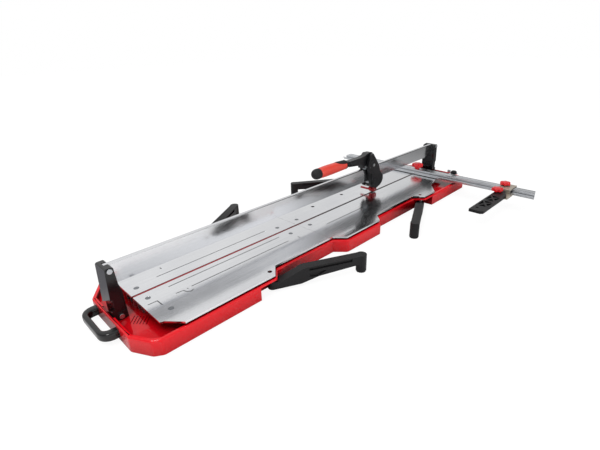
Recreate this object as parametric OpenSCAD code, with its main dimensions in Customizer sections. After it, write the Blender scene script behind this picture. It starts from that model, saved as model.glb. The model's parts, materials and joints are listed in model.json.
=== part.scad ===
// Long-bed manual tile cutter: a red steel tray with aluminium bed plates, two towers that
// carry one guide beam, a scoring carriage with a lever, four folding side arms and a
// swivelling fence with a sliding stop.
// X runs along the scoring line, Y across the bed, and Z up from the table the feet stand on.

/* [Tray] */
// Length of the tray over its end walls
tray_length = 1475; // [1300:5:1600]
// Width of the tray over its side walls
tray_width = 360; // [340:2:420]
// How far each near corner of the tray is cut along its end wall
corner_y = 62; // [50:1:80]
// How far each near corner of the tray is cut along its side
corner_x = 46; // [30:1:60]
// How much further the far corners of the tray are cut along its end wall
far_extra = 34; // [0:1:40]
// Radius that rounds the corners of the tray
corner_round = 14; // [6:0.5:16]
// Thickness of the tray's steel sheet
sheet = 2.5; // [2:0.1:3]
// Height of the rim above the table
rim_z = 43; // [41:0.5:46]
// Width of the flange folded inwards along the rim
rim_w = 9; // [6:0.5:10]
// Height of the top of the tray's floor
floor_z = 27; // [24:0.5:29]
// Height of the rubber feet under the tray
foot_h = 3; // [2.5:0.1:3.5]
// Radius of a rubber foot
foot_r = 8; // [6:0.5:8]
// Width of the lip folded inwards under the walls
lip_w = 20; // [18:1:26]
// Half length of the tab in the middle of each long side
tab_half = 86; // [60:1:110]
// Where each side notch ends, measured from the middle of the tray
notch_end = 372.5; // [340:0.5:400]
// Depth of each side notch
notch_depth = 33; // [31:0.5:36]
// Length of the slope at each end of a notch
notch_run = 29.5; // [20:0.5:40]

/* [Bed plates] */
// Distance from the end wall of the tray to the end of the bed
bed_inset = 65; // [60:0.5:110]
// Gap between the edge of the bed and the outside of the tray
bed_gap = 5; // [4:0.5:8]
// Height of the top of the bed
bed_z = 53; // [51:0.5:56]
// Thickness of a bed plate
plate_t = 5; // [3:0.5:6]
// Half width of the gap over the scoring line
line_gap = 4; // [3.5:0.1:6]
// Where the cross seam between the plates lies
seam_x = -125; // [-160:1:-110]
// Width of the cross seam
seam_w = 0.6; // [0.4:0.1:1.5]
// Thickness of the rubber strips under the plates
strip_t = 2.5; // [1:0.5:4]
// Radius of the heads of the plate screws
plate_screw_r = 6.5; // [4:0.5:7]

/* [Guide beam and towers] */
// Thickness of the guide beam
beam_t = 13; // [10:0.5:16]
// Height of the underside of the guide beam
beam_z = 109.5; // [108:0.5:112]
// Depth of the guide beam
beam_h = 51; // [48:0.5:52]
// Wall of the hollow beam
beam_wall = 3; // [2:0.5:4]
// Gap between the top of a tower and the end wall of the tray
tower_gap = 13.5; // [12:0.5:16]
// Thickness of a tower at its top
tower_top_t = 19; // [17:0.5:24]
// Thickness of a tower at its foot
tower_foot_t = 34; // [30:0.5:36]
// Width of a tower
tower_w = 56; // [48:1:70]
// Radius of the bolts that hold the towers
tower_bolt_r = 4; // [3:0.5:5]

/* [Carry handle] */
// Width of the carry handle
handle_w = 142; // [134:2:200]
// Reach of the carry handle from the end wall
handle_reach = 38.5; // [37:0.5:60]
// Thickness of the bar of the carry handle
handle_bar = 13; // [12:0.5:15]
// Width of the hand opening
handle_gap = 96; // [80:2:98]
// Height of the carry handle's section
handle_h = 22; // [16:1:26]

/* [Carriage] */
// Where the carriage stands on the beam, its lever's pivot
carriage_x = 255.5; // [-300:0.5:260]
// Inner half width between the cheeks
cheek_in = 12; // [11:0.5:14]
// Thickness of a cheek of the carriage
cheek_t = 10; // [7:0.5:12]
// Radius of the carriage rollers
roller_r = 4.5; // [4:0.1:5]
// Radius of the roller axles
roller_axle_r = 1.8; // [1.5:0.1:2.2]
// Radius of the pin the lever turns on
lever_pin_r = 4; // [3:0.5:5]
// Height of the lever's pivot above the beam
pivot_rise = 10.5; // [10.5:0.5:13]

/* [Lever] */
// Half width of the lever
lever_half = 10; // [7:0.5:10.5]
// Length of the red grip
grip_length = 129.5; // [100:0.5:140]
// Radius of the red grip
grip_r = 19; // [16:0.5:20]
// Radius of the bar inside the grip
grip_core_r = 8; // [6:0.5:9]

/* [Scoring wheel] */
// Radius of the scoring wheel
wheel_r = 9; // [6:0.5:9]
// Thickness of the scoring wheel
wheel_t = 2.4; // [1.5:0.1:3]
// Radius of the wheel's axle
axle_r = 2; // [1.5:0.1:2.5]
// Gap from the bed to the wheel with the lever at rest
wheel_gap = 2; // [1.5:0.1:3]
// Radius of the stem that slides in the carriage
stem_r = 8; // [6:0.5:9]

/* [Side arms] */
// How far each arm pivot lies inside the side wall
arm_inset = 19; // [18.5:0.5:20]
// How far each arm pivot lies past the end of its notch
arm_past = 1; // [0:0.5:4]
// Half width of an arm
arm_half = 13.5; // [11:0.5:13.5]
// Distance from an arm's pivot to the middle of its foot
arm_reach = 257; // [200:0.5:257]
// Radius of an arm's foot
arm_foot_r = 15; // [13.5:0.5:15]
// Radius of an arm's pivot pin
arm_pin_r = 5; // [4:0.5:6]
// Opening angle of the near left arm
near_left_angle = 25.5; // [2.5:0.5:90]
// Opening angle of the near right arm
near_right_angle = 25.5; // [2.5:0.5:90]
// Opening angle of the far left arm
far_left_angle = 32; // [2.5:0.5:90]
// Opening angle of the far right arm
far_right_angle = 35; // [2.5:0.5:90]

/* [Fence] */
// Distance from the right end wall to where the fence crosses the scoring line
fence_inset = 120; // [118:0.5:175]
// Half width of the fence in front of its pivot
fence_front = 34; // [30:0.5:36]
// Half width of the fence behind its pivot
fence_back = 26; // [24:0.5:28]
// Near end of the fence
fence_near = 485; // [460:5:520]
// Far end of the fence
fence_far = 385; // [300:5:420]
// Gap between the bed and the fence
fence_lift = 2; // [1.5:0.1:3]
// Height of the fence's section
fence_h = 14; // [12:0.5:16]
// Radius of the stud the fence turns on
stud_r = 4; // [3:0.5:5]
// Radius of the fence's red knob
fence_knob_r = 23; // [18:0.5:24]
// Where the black clamp knob sits along the fence
clamp_y = -152; // [-170:1:-120]
// Radius of the black clamp knob
clamp_knob_r = 12; // [9:0.5:13]

/* [Stop] */
// Where the middle of the stop bracket sits along the fence
stop_y = -380; // [-440:1:-260]
// Length of the stop bracket along the fence
bracket_l = 46; // [44:1:70]
// Thickness of the stop bracket's metal
bracket_t = 2.8; // [2:0.1:3.5]
// Length of the stop bar from its pivot
stop_bar_l = 224; // [150:1:235]
// Width of the stop bar
stop_bar_w = 46; // [36:1:48]
// Thickness of the stop bar
stop_bar_t = 10; // [7:0.5:11]
// Radius of the stop's two red knobs
stop_knob_r = 20; // [15:0.5:20.5]
// Radius of the stop's studs
stop_stud_r = 3; // [2.5:0.1:4]

/* [Hidden] */

$fn = 64;
// A cut runs this far past the face it opens
past = 1;
// Radial clearance of a running fit
run = 0.05;
// Clearance round a bolt in its hole
bolt_gap = 0.2;
// Clearance between pieces that pass each other
free = 0.5;

half_l = tray_length / 2;
half_w = tray_width / 2;
fence_x = half_l - fence_inset;
notch_tan = tan(atan2(notch_depth, notch_run) / 2);
plate_bottom = bed_z - plate_t;
rail_top = plate_bottom - strip_t;
bed_half = half_l - bed_inset;
bed_half_w = half_w - bed_gap;

arm_x = notch_end + arm_past;
arm_y = half_w - arm_inset;
arm_bottom = foot_h + 4;
arm_root_top = 29;
arm_top = bed_z;
arm_root_l = 26;
arm_rise_l = 84;
arm_belly_l = 76;
arm_neck_l = 126;
sole_t = 3;
band_z = rim_z - 2 * sheet;
pocket_y = half_w - notch_depth;
pocket_end = arm_x + 4 * arm_half;

// Plan of the bed plates: cut left corners, and the right ends that narrow towards the fence
end_cut = 8.5;
end_corner_y = 137;
end_slope_x = 40;
taper_x = 447.5;
taper_run = 58.5;
taper_drop = 46;
taper_slope = 0.237;
corner_hole = 20.5;
stop_hole_r = 6;
seam_screw_x = 57.5;
seam_screw_y = 31;
end_screw_x = 24.5;
outer_screw_x = 42;
outer_screw_y = 109;
shank_r = 2.5;
head_h = 2;
groove_w = 2.4;
groove_deep = 2.2;
floor_groove = 1.6;

rail_w = 22;
rail_wall = 2;
inner_rail_y = 20;
outer_rail_y = 100;
rail_end = 24;
outer_rail_end = half_l - 297.5;
ridge_half = line_gap - 0.7;
ridge_top = bed_z + 0.5;

tower_lean = 7;
head_cut = 8;
tower_out = half_l - tower_gap;
tower_in_top = tower_out - tower_top_t;
tower_in_foot = tower_out + tower_lean - tower_foot_t;
tower_top = beam_z + beam_h + 1;
beam_top = beam_z + beam_h;
beam_end = tower_out - 7.5;
beam_half = beam_t / 2;
cross_bolt_z = beam_top - 6.5;
foot_bolt_z = floor_z + 9;
bolt_x = (tower_out + tower_in_top) / 2;
bolt_head_h = 3.5;
head_bolt_end = beam_half + 9;
handle_screw_r = 3;
handle_round = 30;
handle_inner_round = 12;
handle_z = (foot_h + rim_z) / 2;
handle_screw_z = floor_z - sheet - 7.5;
pin_head_t = 2.5;

// The carriage and the lever are drawn for a beam 51 mm deep and grow with it
draw = beam_h / 51;
pivot_z = beam_top + pivot_rise;
hub_r = pivot_rise - 0.7;
cheek_out = cheek_in + cheek_t;
side_gap = 0.4;
top_roller_z = beam_top + 0.3 + roller_r;
low_roller_z = beam_z - 0.3 - roller_r;
// The rollers' places along the carriage, measured from the lever's pivot
roller_left = -19.5 * draw;
roller_right = 27 * draw;
low_roller_left = -7 * draw;
low_roller_right = 55 * draw;

stem_x = 32 * draw;
wheel_z = bed_z + wheel_gap + wheel_r;
holder_half = 12.5;
holder_side = 9;
holder_foot = 9.5;
holder_low = wheel_z - wheel_r + 2.5;
holder_top = 77.5;
stem_top = beam_z - 12.5;
bridge_low = beam_z - 19.5 * draw;
bridge_top = beam_z - 3.5;
lock_z = 72;
lock_screw = 3.5;

grip_z = beam_z + 90.5 * draw;
collar_x = -128.5 * draw;
grip_start = collar_x - 15;
grip_end = grip_start - grip_length;
cap_length = 30;
thumb_l = 47;
thumb_w = 16;
thumb_sink = 6;

fence_z = bed_z + fence_lift;
fence_top = fence_z + fence_h;
fence_base_t = 5;
fence_body_front = fence_front - 19;
fence_body_back = fence_back - 6;
fence_slot_x = 9.5;
end_slant = 14;

knob_z = fence_top + 6;
knob_h = 20;
clamp_x = fence_back + 6.5;
clamp_plate_t = 2.5;

saddle_low = bed_z + 0.6;
saddle_top = fence_top + 0.3 + bracket_t;
saddle_front = fence_front + 0.3 + 5.2;
saddle_back = fence_back + 0.3 + 5.2;
stop_pivot_x = -saddle_front - 25;
stop_pivot_y = stop_y + 13;
bar_far = 6;
bar_end = 20;
tongue_l = 28;
bar_low = saddle_low + bracket_t + 0.6;
bar_top = bar_low + stop_bar_t;
bracket_knob_h = 14;
bar_knob_h = 16;

function reversed(list) = [for (i = [len(list) - 1:-1:0]) list[i]];
function flip_y(list) = reversed([for (p = list) [p[0], -p[1]]]);
function flip_x(list) = reversed([for (p = list) [-p[0], p[1]]]);

// Tab and notch of one side, from the middle outwards, at a distance inside the tray's face
function side_edge(gap) = [
  [tab_half - gap * notch_tan, half_w - gap],
  [tab_half + notch_run - gap * notch_tan, half_w - notch_depth - gap],
  [notch_end - notch_run + gap * notch_tan, half_w - notch_depth - gap],
  [notch_end + gap * notch_tan, half_w - gap]];

// Cut corner of the tray, from its side to its end wall, with extra depth along the end wall
function corner_edge(extra) = [[half_l - corner_x - extra, half_w],
  [half_l - corner_x * 0.57 - extra * 0.6, half_w - 13 - extra * 0.3],
  [half_l, half_w - corner_y - extra]];

// Right half of the tray's outline, from the middle of one long side to the end wall
function half_edge(extra) = concat(side_edge(0), corner_edge(extra));
function right_half() = concat(half_edge(far_extra), flip_y(half_edge(0)));

module tray_outline(gap) {
  offset(r = max(corner_round - gap, 0.1), $fn = 24) offset(delta = -max(corner_round, gap + 0.1))
    polygon(concat(right_half(), flip_x(right_half())));
}

module at_four(x, y) {
  for (sx = [-1, 1], sy = [-1, 1]) translate([sx * x, sy * y, 0]) children();
}

// Slanted grooves pressed in the floor beside the left tower
module floor_grooves() {
  for (i = [0:5]) translate([-half_l + 40 + 4.6 * i, -47 - 5.8 * i, floor_z - floor_groove])
    rotate(46) translate([-14, -1.2, 0]) cube([28, 2.4, floor_groove + past]);
}

module base_tray() color("crimson") difference() {
  union() {
    difference() {
      translate([0, 0, foot_h]) linear_extrude(rim_z - foot_h) tray_outline(0);
      translate([0, 0, floor_z]) linear_extrude(rim_z - sheet - floor_z) tray_outline(sheet);
      translate([0, 0, floor_z]) linear_extrude(rim_z) tray_outline(rim_w);
      translate([0, 0, foot_h + sheet]) linear_extrude(floor_z - 2 * sheet - foot_h) tray_outline(sheet);
      translate([0, 0, 0]) linear_extrude(foot_h + sheet + past) tray_outline(lip_w);
    }
    // Pressed housings over the roots of the arms
    intersection() {
      translate([0, 0, foot_h]) linear_extrude(rim_z) tray_outline(sheet / 2);
      for (sx = [-1, 1], sy = [-1, 1]) scale([sx, sy, 1])
        translate([notch_end - notch_run, pocket_y - sheet, foot_h])
          cube([pocket_end + sheet - notch_end + notch_run, half_w - pocket_y + sheet,
            band_z + sheet - foot_h]);
    }
  }
  for (sx = [-1, 1], sy = [-1, 1]) scale([sx, sy, 1])
    translate([notch_end - notch_run - past, pocket_y, 0])
      cube([pocket_end - notch_end + notch_run + past, notch_depth + past, band_z]);
  floor_grooves();
  // Gaps in the rim's flange for the towers
  for (side = [-1, 1]) translate([side * (half_l - sheet - rim_w / 2), 0, rim_z])
    cube([rim_w, tower_w + 8, 4 * sheet], center = true);
  for (y = handle_screw_y()) translate([-half_l - past, y, handle_screw_z])
    rotate([0, 90, 0]) cylinder(r = handle_screw_r + bolt_gap, h = sheet + 2 * past);
}

module rubber_feet() color("dimgray") {
  for (x = [tab_half / 2, notch_end + 100, half_l - corner_x - 44])
    at_four(x, half_w - lip_w / 2 - 1) cylinder(r1 = foot_r - 1, r2 = foot_r, h = foot_h);
  // Tall foot under the middle of the floor, where a tile is snapped
  cylinder(r1 = foot_r + 2, r2 = foot_r + 4, h = floor_z - sheet);
}

function left_edge() = concat([[-seam_x + seam_w / 2, bed_half_w - notch_depth]],
  [for (i = [2:3]) side_edge(bed_gap)[i]],
  [[bed_half - end_slope_x, bed_half_w], [bed_half - end_cut, end_corner_y + 2.5],
   [bed_half, end_corner_y], [bed_half, line_gap], [-seam_x + seam_w / 2, line_gap]]);
function right_edge() = concat([[seam_x + seam_w / 2, bed_half_w - notch_depth]],
  reversed([for (i = [0:1]) [-side_edge(bed_gap)[i][0], side_edge(bed_gap)[i][1]]]),
  side_edge(bed_gap),
  [[taper_x, bed_half_w], [taper_x + taper_run, bed_half_w - taper_drop],
   [bed_half, bed_half_w - taper_drop - taper_slope * (bed_half - taper_x - taper_run)],
   [bed_half, line_gap], [seam_x + seam_w / 2, line_gap]]);

function left_screws() = [[seam_x - seam_screw_x, seam_screw_y], [-bed_half + end_screw_x, seam_screw_y]];
function right_screws() = [[seam_x + seam_screw_x / 2, seam_screw_y], [bed_half - end_screw_x, seam_screw_y]];
function outer_screw() = [-bed_half + outer_screw_x, outer_screw_y];

module screw_seat(p) {
  translate([p[0], p[1], plate_bottom - past]) cylinder(r = shank_r + 0.5, h = plate_t + 2 * past);
  translate([p[0], p[1], bed_z - head_h]) cylinder(r = plate_screw_r + bolt_gap, h = head_h + past);
}

module stop_hole(x, y) {
  translate([x, y, plate_bottom - past]) cylinder(r = stop_hole_r, h = plate_t + 2 * past);
}

// Shallow groove along a row of points on top of a plate
module groove(points) {
  translate([0, 0, bed_z - groove_deep]) linear_extrude(groove_deep + past) {
    for (i = [1:len(points) - 1]) let (run_x = points[i][0] - points[i - 1][0],
      run_y = points[i][1] - points[i - 1][1])
      translate(points[i - 1]) rotate(atan2(run_y, run_x)) translate([0, -groove_w / 2])
        square([norm([run_x, run_y]), groove_w]);
    for (p = points) translate(p) circle(r = groove_w / 2, $fn = 12);
  }
}

// Two long lines, a hooked line round a centre mark and a bent slot beside them
module near_left_grooves() {
  groove([[-549, -63], [-223, -63]]);
  groove([[-590, -23], [-225, -23]]);
  groove([[-592, -63], [-574, -65], [-571, -74], [-562, -82], [-555, -78]]);
  groove([[-563, -65], [-561, -65]]);
  groove([[-660, -57.5], [-638, -58], [-637.5, -81]]);
  groove([[-183, -64], [-183, -72]]);
}

module left_plate(side) {
  difference() {
    translate([0, 0, plate_bottom]) linear_extrude(plate_t)
      polygon([for (p = left_edge()) [-p[0], side * p[1]]]);
    for (p = concat(left_screws(), [outer_screw()])) screw_seat([p[0], side * p[1]]);
    if (side < 0) near_left_grooves();
    if (side > 0) {
      groove([[-588, 42.5], [-225, 42.5]]);
      groove([[-561, 72], [-561, 79]]);
    }
    stop_hole(-notch_end - 3, side * (bed_half_w - corner_hole));
  }
}

module right_plate(side) {
  difference() {
    translate([0, 0, plate_bottom]) linear_extrude(plate_t)
      polygon([for (p = right_edge()) [p[0], side * p[1]]]);
    for (p = right_screws()) screw_seat([p[0], side * p[1]]);
    stop_hole(notch_end + 3, side * (bed_half_w - corner_hole));
    if (side < 0) groove([[-56, -68], [141, -68]]);
    if (side > 0) {
      stop_hole(22.5, 69);
      stop_hole(185, 70.5);
    }
    translate([fence_x, 0, plate_bottom - past]) cylinder(r = stud_r + 3, h = plate_t + 2 * past);
  }
}

module plate_near_left() color("gainsboro") left_plate(-1);
module plate_far_left() color("gainsboro") left_plate(1);
module plate_near_right() color("gainsboro") right_plate(-1);
module plate_far_right() color("gainsboro") right_plate(1);

// Steel channels on the floor that carry the plates
module rail(x0, x1, y) {
  translate([x0, y, floor_z]) difference() {
    cube([x1 - x0, rail_w, rail_top - floor_z]);
    translate([-past, rail_wall, -past])
      cube([x1 - x0 + 2 * past, rail_w - 2 * rail_wall, rail_top - floor_z - rail_wall + past]);
  }
}

module support_rails() color("silver") difference() {
  for (side = [0, 1]) mirror([0, side, 0]) {
    rail(-bed_half + 2, bed_half - rail_end, inner_rail_y);
    rail(-outer_rail_end - 190, outer_rail_end, outer_rail_y);
  }
  all_screws() cylinder(r = shank_r + bolt_gap, h = rail_top + past);
}

module all_screws() {
  for (side = [-1, 1], p = concat(left_screws(), right_screws(), [outer_screw()]))
    translate([p[0], side * p[1], 0]) children();
}

module plate_cushions() color("black") difference() {
  for (side = [-1, 1]) for (span = [[-bed_half + 2, bed_half - rail_end, inner_rail_y],
    [-outer_rail_end - 190, outer_rail_end, outer_rail_y]])
    translate([span[0], side > 0 ? span[2] : -span[2] - rail_w, rail_top])
      cube([span[1] - span[0], rail_w, strip_t]);
  all_screws() cylinder(r = shank_r + bolt_gap, h = bed_z);
}

module plate_screws() color("gray") {
  all_screws() {
    translate([0, 0, rail_top - 8]) cylinder(r = shank_r, h = bed_z - head_h - rail_top + 8);
    translate([0, 0, bed_z - head_h]) cylinder(r = plate_screw_r, h = head_h - 0.2);
  }
}

module breaker_ridge() color("firebrick") difference() {
  translate([-bed_half, 0, 0]) rotate([90, 0, 90]) linear_extrude(2 * bed_half) polygon([
    [-10, floor_z], [10, floor_z], [10, floor_z + 3], [ridge_half, floor_z + 3],
    [ridge_half, ridge_top - 1.2], [1, ridge_top], [-1, ridge_top], [-ridge_half, ridge_top - 1.2],
    [-ridge_half, floor_z + 3], [-10, floor_z + 3]]);
  translate([fence_x, 0, floor_z - past]) cylinder(r = 12, h = bed_z);
}

// Left tower, standing on the tray's floor
module tower(in_foot) difference() {
  translate([0, tower_w / 2, 0]) rotate([90, 0, 0]) linear_extrude(tower_w) polygon([
    [-tower_out - tower_lean, floor_z], [-tower_out, tower_top - 3], [-tower_out + 3, tower_top],
    [-tower_in_top - 3, tower_top], [-tower_in_top, tower_top - 3], [-tower_in_top + 2, beam_z + 9],
    [-in_foot - 1, beam_z - 13], [-in_foot, floor_z]]);
  // Slot that the beam drops into
  translate([-beam_end - free, -beam_half - 0.1, beam_z])
    cube([beam_end - tower_in_foot + 2 * free + past, beam_t + 0.2, beam_h + 4.5 + past]);
  // The far corner of the head is cut off
  translate([-tower_out - past, 0, 0]) rotate([90, 0, 90]) linear_extrude(tower_top_t + 2 * past)
    polygon([[tower_w / 2 - head_cut, tower_top + past], [tower_w / 2 + past, tower_top + past],
      [tower_w / 2 + past, tower_top - head_cut]]);
  // Shallow panel on each broad side of the foot
  for (side = [-1, 1]) translate([-tower_out + 4, side * tower_w / 2 - 1.2, floor_z + 20])
    cube([tower_foot_t - 14, 2.4, beam_z - floor_z - 40]);
  // Slanted recess low on the outer face
  translate([-tower_out - tower_lean - past, 0, 0]) rotate([90, 0, 90]) linear_extrude(9)
    polygon([[-tower_w / 2 - past, floor_z + 30], [-tower_w / 2 - past, floor_z + 58],
      [tower_w / 2 + past, floor_z + 31], [tower_w / 2 + past, floor_z + 3]]);
  translate([-bolt_x, head_bolt_end, cross_bolt_z]) rotate([90, 0, 0])
    cylinder(r = tower_bolt_r + bolt_gap, h = tower_w / 2 + head_bolt_end + past);
  translate([-bolt_x + 2, tower_w / 2 + past, foot_bolt_z]) rotate([90, 0, 0])
    cylinder(r = tower_bolt_r + bolt_gap, h = tower_w + 2 * past);
}

module tower_left() color("dimgray") tower(tower_in_foot);
module tower_right() color("dimgray") mirror([1, 0, 0]) tower(tower_in_top - 1);

// Bolt from the near face of a tower to far_y
module cross_bolt(x, z, far_y) {
  translate([x, far_y, z]) rotate([90, 0, 0]) {
    cylinder(r = tower_bolt_r, h = tower_w / 2 + far_y);
    translate([0, 0, tower_w / 2 + far_y]) cylinder(r = tower_bolt_r * 1.55, h = bolt_head_h);
  }
}

module tower_bolts() color("silver") for (side = [-1, 1]) {
  cross_bolt(side * bolt_x, cross_bolt_z, head_bolt_end - 0.5);
  cross_bolt(side * (bolt_x - 2), foot_bolt_z, tower_w / 2);
}

// Hollow aluminium bar on edge, with two cells
module guide_beam() color("lightgray") difference() {
  translate([-beam_end, 0, 0]) rotate([90, 0, 90]) linear_extrude(2 * beam_end) difference() {
    polygon([[-beam_half, beam_z], [beam_half, beam_z], [beam_half, beam_top - 2],
      [beam_half - 2, beam_top], [-beam_half + 2, beam_top], [-beam_half, beam_top - 2]]);
    for (low = [beam_z + beam_wall, beam_z + beam_h / 2 + beam_wall / 2])
      translate([-beam_half + beam_wall, low])
        square([beam_t - 2 * beam_wall, beam_h / 2 - 1.5 * beam_wall]);
  }
  for (side = [-1, 1]) translate([side * bolt_x, beam_t, cross_bolt_z]) rotate([90, 0, 0])
    cylinder(r = tower_bolt_r + bolt_gap, h = 2 * beam_t);
}

function handle_screw_y() = [for (side = [-1, 1], k = [-1, 1])
  side * ((handle_w + handle_gap) / 4 + k * 5.6)];

// D-shaped grip on the left end wall
module carry_handle() color("black") difference() {
  translate([0, 0, handle_z - handle_h / 2]) linear_extrude(handle_h) difference() {
    intersection() {
      translate([-half_l - handle_reach, -handle_w / 2]) square([handle_reach, handle_w]);
      union() {
        translate([-half_l - handle_reach + handle_round, -handle_w / 2]) square([handle_reach, handle_w]);
        translate([-half_l - handle_reach, -handle_w / 2 + handle_round])
          square([handle_round, handle_w - 2 * handle_round]);
        for (side = [-1, 1])
          translate([-half_l - handle_reach + handle_round, side * (handle_w / 2 - handle_round)])
            circle(r = handle_round);
      }
    }
    for (side = [-1, 1])
      translate([-half_l - handle_reach + handle_bar + handle_inner_round,
        side * (handle_gap / 2 - handle_inner_round)]) circle(r = handle_inner_round);
    translate([-half_l - handle_reach + handle_bar, -handle_gap / 2 + handle_inner_round])
      square([handle_reach, handle_gap - 2 * handle_inner_round]);
    translate([-half_l - handle_reach + handle_bar + handle_inner_round, -handle_gap / 2])
      square([handle_reach, handle_gap]);
  }
  for (y = handle_screw_y()) translate([-half_l - 12, y, handle_screw_z]) rotate([0, 90, 0])
    cylinder(r = handle_screw_r + bolt_gap, h = 12 + past);
}

module handle_screws() color("silver") for (y = handle_screw_y())
  translate([-half_l - 10, y, handle_screw_z]) rotate([0, 90, 0]) {
    cylinder(r = handle_screw_r, h = 10 + sheet);
    translate([0, 0, 10 + sheet]) cylinder(r = handle_screw_r + 2, h = 2);
  }

module arm_pivot_pins() color("silver") at_four(arm_x, arm_y) {
  translate([0, 0, arm_bottom - 0.3 - pin_head_t]) cylinder(r = arm_pin_r + 3, h = pin_head_t);
  translate([0, 0, arm_bottom - 0.3]) cylinder(r = arm_pin_r, h = band_z - arm_bottom + 0.3);
}

module fence_pivot_stud() color("silver") translate([fence_x, 0, 0]) {
  translate([0, 0, floor_z]) cylinder(r = 10, h = 5);
  translate([0, 0, floor_z + 5]) cylinder(r = stud_r, h = knob_z + knob_h - 6 - floor_z - 5);
  translate([0, 0, bed_z]) cylinder(r = 12, h = fence_lift - 0.2);
}

// Side view of the carriage or the lever, drawn from the lever's pivot and the beam's underside
function drawn(list) = [for (p = list) [draw * p[0], beam_z + draw * p[1]]];

function cheek_points() = drawn([[-13.5, 4], [-15, 26], [-25, 46], [-31, 68], [-26, 88], [-14, 103], [-4, 105],
  [12, 85], [33, 56], [45, 28], [64, 8], [65, -5], [59, -18], [47, -27], [22, -34], [5, -28], [-8, -21],
  [-13, -12]]);

module cheek(side) {
  translate([0, side > 0 ? cheek_out : -cheek_in, 0]) rotate([90, 0, 0])
    linear_extrude(cheek_t) polygon(cheek_points());
}

module carriage_body() color("black") translate([carriage_x, 0, 0]) difference() {
  union() {
    cheek(-1);
    cheek(1);
    // Bridge under the beam that the stem slides in
    translate([-draw, -cheek_in - past, bridge_low])
      cube([48 * draw, 2 * (cheek_in + past), bridge_top - bridge_low]);
    // Side guides that keep the cheeks centred on the beam
    for (x = [-12, 17] * draw, side = [-1, 1])
      translate([x, side > 0 ? beam_half + side_gap : -cheek_in - past, beam_z + 4])
        cube([6, cheek_in + past - beam_half - side_gap, beam_h - 8]);
    // Raised panel low on the near cheek
    translate([-10 * draw, -cheek_out - 1.5, beam_z - 14 * draw]) cube([22 * draw, 2.5, 46 * draw]);
  }
  translate([stem_x, 0, bridge_low - past])
    cylinder(r = stem_r + run, h = bridge_top - bridge_low + 2 * past);
  // Room for the lock lever under the far cheek
  translate([stem_x - holder_half - 16.5, cheek_in - past, lock_z - 2])
    cube([16, cheek_t + 2 * past, 23]);
  translate([0, cheek_out + past, pivot_z]) rotate([90, 0, 0])
    cylinder(r = lever_pin_r + bolt_gap / 4, h = 2 * (cheek_out + past));
  roller_places() rotate([90, 0, 0]) cylinder(r = roller_axle_r + run, h = 3 * cheek_out, center = true);
}

module roller_places() {
  translate([roller_left, 0, top_roller_z]) children();
  translate([roller_right, 0, top_roller_z]) children();
  translate([low_roller_left, 0, low_roller_z]) children();
  translate([low_roller_right, 0, low_roller_z]) children();
}

module roller_axles() color("silver") translate([carriage_x, 0, 0]) roller_places()
  rotate([90, 0, 0]) cylinder(r = roller_axle_r, h = 2 * cheek_out - 2, center = true);

module roller(x, z) {
  translate([carriage_x + x, 0, z]) rotate([90, 0, 0]) difference() {
    cylinder(r = roller_r, h = 2 * cheek_in - 1, center = true);
    cylinder(r = roller_axle_r + run, h = 2 * cheek_in + past, center = true);
  }
}

module roller_top_left() color("silver") roller(roller_left, top_roller_z);
module roller_top_right() color("silver") roller(roller_right, top_roller_z);
module roller_bottom_left() color("silver") roller(low_roller_left, low_roller_z);
module roller_bottom_right() color("silver") roller(low_roller_right, low_roller_z);

module lever_pivot_pin() color("silver") translate([carriage_x, 0, pivot_z]) rotate([90, 0, 0]) {
  cylinder(r = lever_pin_r, h = 2 * cheek_out, center = true);
  translate([0, 0, cheek_out]) cylinder(r = lever_pin_r + 1.5, h = 2.5);
  translate([0, 0, -cheek_out - 2.5]) cylinder(r = lever_pin_r + 1.5, h = 2.5);
}

// Lever: side view from its pivot
module lever_arm() color("black") translate([carriage_x, 0, 0]) difference() {
  union() {
    translate([0, lever_half, 0]) rotate([90, 0, 0]) linear_extrude(2 * lever_half)
      polygon(concat(drawn([[-128.5, 80], [-128.5, 99], [-62, 99], [-42, 101], [-26, 105.5],
        [-8, 109], [5, 106], [12, 92], [10.5, 80]]),
        [[hub_r * 0.8, pivot_z + 8], [-hub_r * 0.5, pivot_z - 8]], drawn([[-30, 69], [-42, 57], [-50, 57],
        [-56, 71]])));
    translate([0, lever_half, pivot_z]) rotate([90, 0, 0]) cylinder(r = hub_r, h = 2 * lever_half);
    // Collar in front of the grip and the bar inside it
    translate([grip_start, 0, grip_z]) rotate([0, 90, 0])
      cylinder(r1 = grip_r - 3, r2 = 10, h = collar_x - grip_start + 6);
    translate([grip_end - cap_length / 2, 0, grip_z]) rotate([0, 90, 0])
      cylinder(r = grip_core_r, h = grip_start - grip_end + cap_length / 2);
  }
  translate([0, lever_half + past, pivot_z]) rotate([90, 0, 0])
    cylinder(r = lever_pin_r + run, h = 2 * (lever_half + past));
}

module grip_profile(length) {
  polygon([[grip_core_r + run, 0], [grip_r - 2.5, 0], [grip_r - 0.8, 10], [grip_r, 35],
    [grip_r - 0.6, length / 2 + 10], [grip_r - 2.2, length - 25], [grip_r - 3, length],
    [grip_core_r + run, length]]);
}

module lever_grip() color("red") translate([carriage_x, 0, grip_z]) difference() {
  translate([grip_end, 0, 0]) rotate([0, 90, 0]) rotate_extrude() grip_profile(grip_length);
  // Seat of the thumb rest
  translate([grip_start - thumb_l, -thumb_w / 2, grip_r - thumb_sink])
    cube([thumb_l + past, thumb_w, grip_r]);
}

module thumb_rest() color("black")
  translate([carriage_x + grip_start - thumb_l, 0, grip_z + grip_r - thumb_sink])
    rotate([90, 0, 0]) linear_extrude(thumb_w, center = true)
      polygon([[0, 0], [thumb_l, 0], [thumb_l, thumb_sink - 2.5], [thumb_l - 12, thumb_sink - 0.4],
        [thumb_l / 2, thumb_sink], [6, thumb_sink - 1], [0, 1.5]]);

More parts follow.
